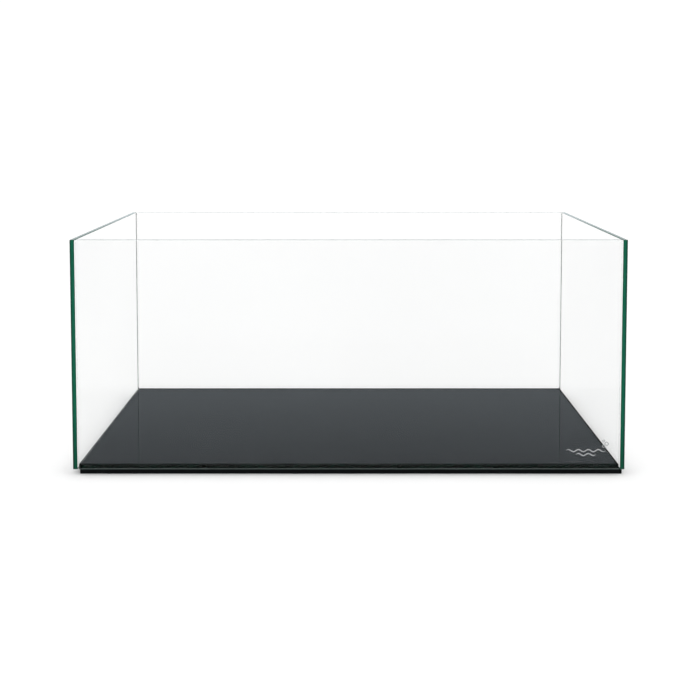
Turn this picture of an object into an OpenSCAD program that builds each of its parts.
// Shallow rimless glass aquarium on a foam levelling mat.
// Millimetres. +Z is up, the front pane faces -Y, and the origin is on the
// surface that the mat lies on, under the middle of the tank.
//
// Five float-glass panes are bonded edge to face with clear silicone. The side
// panes run the full depth and cover the ends of the front and back panes, and
// all four walls stand round the bottom pane. The tank isn't fixed to its mat.

/* [Tank] */
// Outside width of the tank
tank_w = 610; // [300:10:900]
// Outside depth of the tank
tank_d = 406; // [200:2:600]
// Height of the glass
tank_h = 255; // [150:1:450]
// Thickness of every pane
glass_t = 5; // [4:1:10]
// Width of the 45 degree arris ground along every edge of a pane
arris = 0.6; // [0.3:0.1:1]

/* [Silicone] */
// Thickness of the silicone between an edge and the face it is bonded to
bond_t = 0.8; // [0.5:0.1:1.5]
// Leg of the tooled bead in each inside corner
bead = 4; // [2:0.5:6]
// How far a vertical bond stops short of the outer face of the glass
bond_recess = 0.8; // [0:0.1:1.5]
// How far a vertical bead stops below the rim
rim_gap = 1.5; // [0.7:0.1:5]

/* [Levelling mat] */
// Thickness of the foam mat
mat_t = 6; // [3:1:8]
// How far the mat's edge lies inside the edge of the tank
mat_inset = 4; // [2:1:10]
// How far the loose mat lies to the right of the middle
mat_shift = 2.4; // [-1.5:0.1:2.5]
// Radius of the mat's corners
mat_corner = 2; // [1:0.5:6]

/* [Hidden] */
PANES = ["left_pane", "right_pane", "front_pane", "back_pane", "bottom_pane"];
CORNER_SEAMS = [
    "front_left_seam", "front_right_seam", "back_left_seam", "back_right_seam"
];
FLOOR_SEAMS = [
    "floor_front_seam", "floor_back_seam", "floor_left_seam", "floor_right_seam"
];

inner_x = tank_w / 2 - glass_t;          // middle to the inner face of a side pane
inner_y = tank_d / 2 - glass_t;          // middle to the inner face of the front or back pane
glass_z = mat_t;                         // underside of every pane
floor_z = glass_z + glass_t;             // top of the bottom pane
bead_hollow = 1.2;                       // centre of the bead's tooling arc, in legs from each face
cut_reach = 4 * (bead + glass_t);        // taller than a floor seam above and below the floor

glass_colour = [0.75, 0.9, 0.86, 0.35];
silicone_colour = [0.9, 0.93, 0.92, 0.8];
foam_colour = [0.06, 0.065, 0.07];

// ---- Panes ----

// A rectangle about the origin with its four corners cut at 45 degrees.
module arrised_rectangle(w, h, cut) {
    polygon([
        [-w / 2 + cut, -h / 2], [w / 2 - cut, -h / 2],
        [w / 2, -h / 2 + cut], [w / 2, h / 2 - cut],
        [w / 2 - cut, h / 2], [-w / 2 + cut, h / 2],
        [-w / 2, h / 2 - cut], [-w / 2, -h / 2 + cut]
    ]);
}

// A glass pane of that size about its own middle, with an arris along all twelve edges.
module glass_sheet(size) {
    intersection() {
        linear_extrude(size[2], center = true)
            arrised_rectangle(size[0], size[1], arris);
        rotate([90, 0, 0])
            linear_extrude(size[1], center = true)
                arrised_rectangle(size[0], size[2], arris);
        rotate([90, 0, 90])
            linear_extrude(size[0], center = true)
                arrised_rectangle(size[1], size[2], arris);
    }
}

// side is -1 for the left pane and 1 for the right pane.
module side_pane(side) {
    color(glass_colour)
        translate([side * (tank_w - glass_t) / 2, 0, glass_z + tank_h / 2])
            glass_sheet([glass_t, tank_d, tank_h]);
}

// side is -1 for the front pane and 1 for the back pane.
module long_pane(side) {
    color(glass_colour)
        translate([0, side * (tank_d - glass_t) / 2, glass_z + tank_h / 2])
            glass_sheet([2 * (inner_x - bond_t), glass_t, tank_h]);
}

module bottom_pane() {
    color(glass_colour)
        translate([0, 0, glass_z + glass_t / 2])
            glass_sheet([2 * (inner_x - bond_t), 2 * (inner_y - bond_t), glass_t]);
}

// ---- Silicone seams ----

// The tooled bead in an inside corner: faces along both axes, hollowed by a round tool.
module bead_profile() {
    centre = bead * bead_hollow;
    difference() {
        polygon([[0, 0], [bead, 0], [0, bead]]);
        translate([centre, centre])
            circle(r = norm([centre, centre - bead]), $fn = 64);
    }
}

// A floor seam seen along its length. X runs in from the wall's inner face and Y runs
// up from the floor, with the bond between the wall and the edge of the bottom pane.
module floor_seam_profile() {
    union() {
        translate([0, -glass_t])
            square([bond_t, glass_t]);
        bead_profile();
    }
}

// The bond between the end of a front or back pane and a side pane, with its bead
// down to the floor. sx is -1 left or 1 right, and sy is -1 front or 1 back.
module corner_seam(sx, sy) {
    color(silicone_colour)
        mirror([sx > 0 ? 1 : 0, 0, 0])
            mirror([0, sy > 0 ? 1 : 0, 0])
                translate([-inner_x, -inner_y, 0])
                    union() {
                        translate([0, 0, glass_z])
                            linear_extrude(tank_h - rim_gap)
                                translate([0, bond_recess - glass_t])
                                    square([bond_t, glass_t - bond_recess]);
                        translate([0, 0, floor_z])
                            linear_extrude(tank_h - glass_t - rim_gap)
                                bead_profile();
                    }
}

// A seam along the foot of one wall, with the line where wall and floor meet along X
// at [0, 0]. Its bead is towards +Y. Both ends are cut at 45 degrees to meet the next
// seam, and round the foot of the corner seam's bead.
module floor_seam_bar(length) {
    difference() {
        intersection() {
            rotate([90, 0, 90])
                linear_extrude(length, center = true)
                    floor_seam_profile();
            linear_extrude(cut_reach, center = true)
                polygon([[-length / 2, 0], [length / 2, 0], [0, length / 2]]);
        }
        for (end = [0, 1])
            mirror([end, 0, 0])
                translate([-length / 2, 0, 0])
                    linear_extrude(cut_reach)
                        bead_profile();
    }
}

// turn is the number of quarter turns from the front wall, anticlockwise from above.
module floor_seam(turn) {
    reach = turn % 2 == 0 ? inner_y : inner_x;
    length = turn % 2 == 0 ? 2 * inner_x : 2 * inner_y;
    color(silicone_colour)
        rotate([0, 0, 90 * turn])
            translate([0, -reach, floor_z])
                floor_seam_bar(length);
}

// ---- Levelling mat ----

module levelling_mat() {
    mat_w = tank_w - 2 * mat_inset;
    mat_d = tank_d - 2 * mat_inset;
    color(foam_colour)
        translate([mat_shift, 0, 0])
            linear_extrude(mat_t)
                union() {
                    square([mat_w - 2 * mat_corner, mat_d], center = true);
                    square([mat_w, mat_d - 2 * mat_corner], center = true);
                    for (sx = [-1, 1], sy = [-1, 1])
                        translate([
                            sx * (mat_w / 2 - mat_corner), sy * (mat_d / 2 - mat_corner)
                        ])
                            circle(r = mat_corner, $fn = 32);
                }
}

levelling_mat();
side_pane(-1);  // left_pane
side_pane(1);  // right_pane
long_pane(-1);  // front_pane
long_pane(1);  // back_pane
bottom_pane();
corner_seam(-1, -1);  // front_left_seam
corner_seam(1, -1);  // front_right_seam
corner_seam(-1, 1);  // back_left_seam
corner_seam(1, 1);  // back_right_seam
floor_seam(0);  // floor_front_seam
floor_seam(1);  // floor_right_seam
floor_seam(2);  // floor_back_seam
floor_seam(3);  // floor_left_seam
